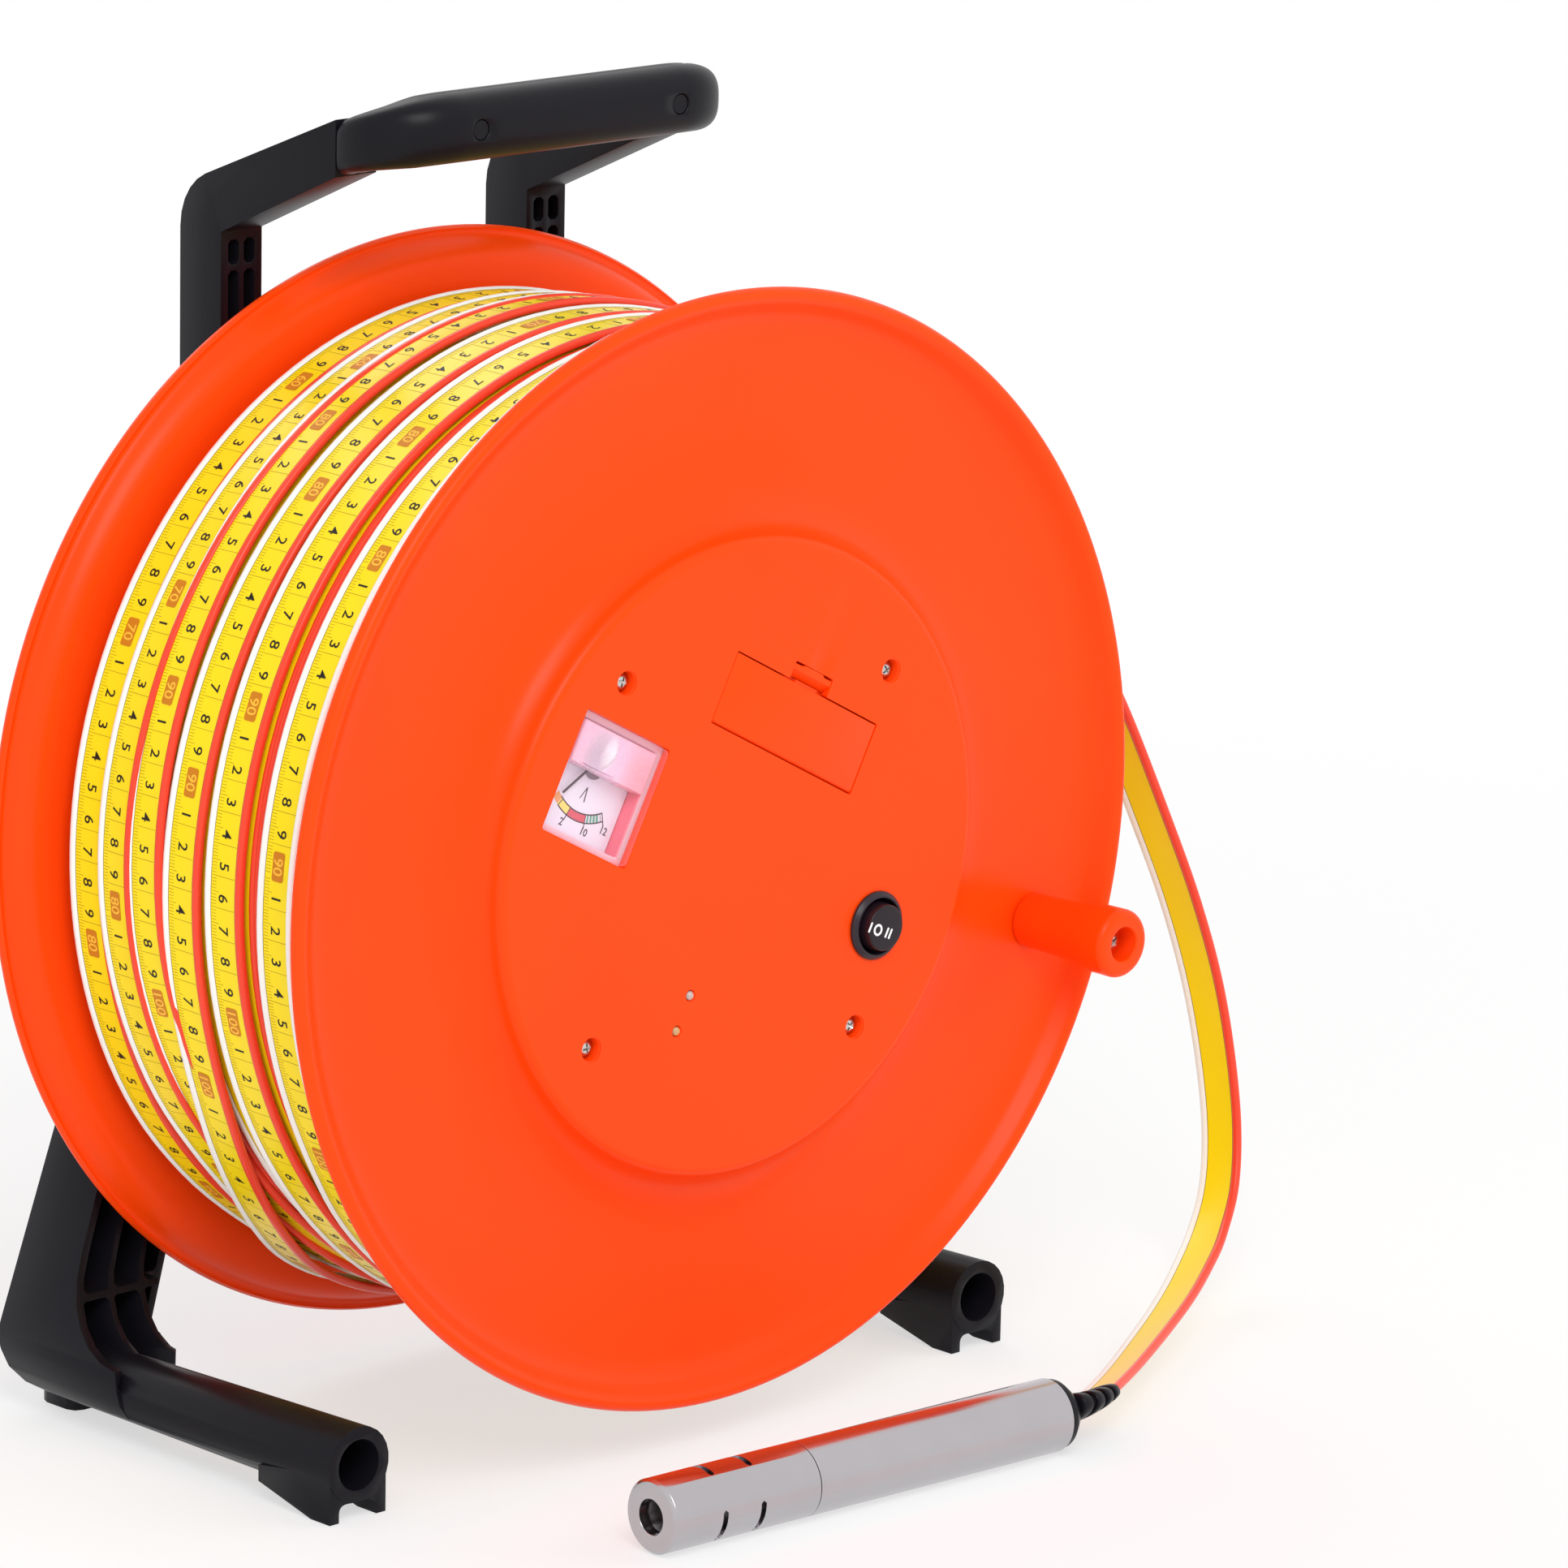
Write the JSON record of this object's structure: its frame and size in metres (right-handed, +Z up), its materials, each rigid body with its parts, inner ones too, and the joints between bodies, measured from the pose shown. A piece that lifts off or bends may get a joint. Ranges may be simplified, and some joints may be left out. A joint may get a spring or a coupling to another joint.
{
  "type": "water level meter",
  "caption": "Hand-wound reel of flat marked tape on a moulded carrying stand, with a voltmeter, battery door and switch in its hub panel and a steel water-sensing probe.",
  "frame": {"origin": "on the floor under the middle of the drum, half way between the knob's tip and the stand's back", "axes": "+Z up; -Y is the front, which the control panel faces; +X to the right seen from the front"},
  "size_m": [0.4353, 0.2664, 0.4304],
  "materials": {
    "orange_plastic": "injection moulded, semi-gloss",
    "black_plastic": "injection moulded, satin",
    "steel": "turned and polished",
    "screw_steel": "plated",
    "tape_yellow": "extruded, printed with centimetre figures",
    "clear_plastic": "clear moulded plastic",
    "dial_white": "printed",
    "board_green": "solder mask",
    "brass": "wound wire and frame",
    "nylon": "turned",
    "battery_grey": "wrapped, plain",
    "led_white": "clear lens",
    "led_amber": "tinted lens"
  },
  "bodies": {
    "stand": {"frame": "black_plastic", "grip_outer_half": "black_plastic", "grip_inner_half": "black_plastic", "grip_screw_1": "screw_steel", "grip_screw_2": "screw_steel", "axle_shaft": "steel", "axle_rear_nut": "steel", "axle_spacer_washer": "steel", "axle_front_washer": "steel", "axle_front_nut": "steel", "free_tape": "tape_yellow", "tape_strain_relief": "black_plastic", "probe_cap": "black_plastic", "probe_body": "steel", "probe_nose": "steel", "probe_insulator": "nylon", "probe_electrode": "steel"},
    "drum": {"rear_flange": "orange_plastic", "front_flange": "orange_plastic", "core_barrel": "orange_plastic", "rear_bush": "nylon", "front_bush": "nylon", "tape_winding": "tape_yellow", "panel_screw_1": "screw_steel", "panel_screw_2": "screw_steel", "panel_screw_3": "screw_steel", "panel_screw_4": "screw_steel", "rear_screw_1": "screw_steel", "rear_screw_2": "screw_steel", "rear_screw_3": "screw_steel", "rear_screw_4": "screw_steel", "circuit_board": "board_green", "board_screw_1": "screw_steel", "board_screw_2": "screw_steel", "buzzer": "black_plastic", "led_upper": "led_white", "led_lower": "led_amber", "battery_box": "orange_plastic", "battery": "battery_grey", "battery_snap": "black_plastic", "meter_case": "black_plastic", "meter_dial": "dial_white", "meter_lens": "clear_plastic", "meter_cover": "clear_plastic", "meter_coil": "brass", "switch_bezel": "black_plastic", "switch_nut": "steel", "knob_screw": "screw_steel", "knob_nut": "steel"},
    "knob": {"winding_knob": "orange_plastic"},
    "door": {"battery_door": "orange_plastic"},
    "rocker": {"switch_rocker": "black_plastic"},
    "needle": {"meter_needle": "black_plastic"}
  },
  "joints": [
    {"name": "drum_spin", "type": "hinge", "parent": "stand", "child": "drum", "pos_m": [0, 0, 0.1945], "axis": [0, -1, 0], "continuous": true},
    {"name": "knob_spin", "type": "hinge", "parent": "drum", "child": "knob", "pos_m": [0.14472, -0.087, 0.14803], "axis": [0, -1, 0], "continuous": true},
    {"name": "door_hinge", "type": "hinge", "parent": "drum", "child": "door", "pos_m": [0.01648, -0.0778, 0.22549], "axis": [0.8829, 0, -0.4695], "range_deg": [0, 75]},
    {"name": "switch_tilt", "type": "hinge", "parent": "drum", "child": "rocker", "pos_m": [0.05916, -0.0767, 0.16304], "axis": [0.4695, 0, 0.8829], "range_deg": [-9, 9]},
    {"name": "needle_swing", "type": "hinge", "parent": "drum", "child": "needle", "pos_m": [-0.05493, -0.0718, 0.2339], "axis": [0, -1, 0], "range_deg": [0, 68], "stiffness_Nm_per_rad": 0.00002}
  ]
}
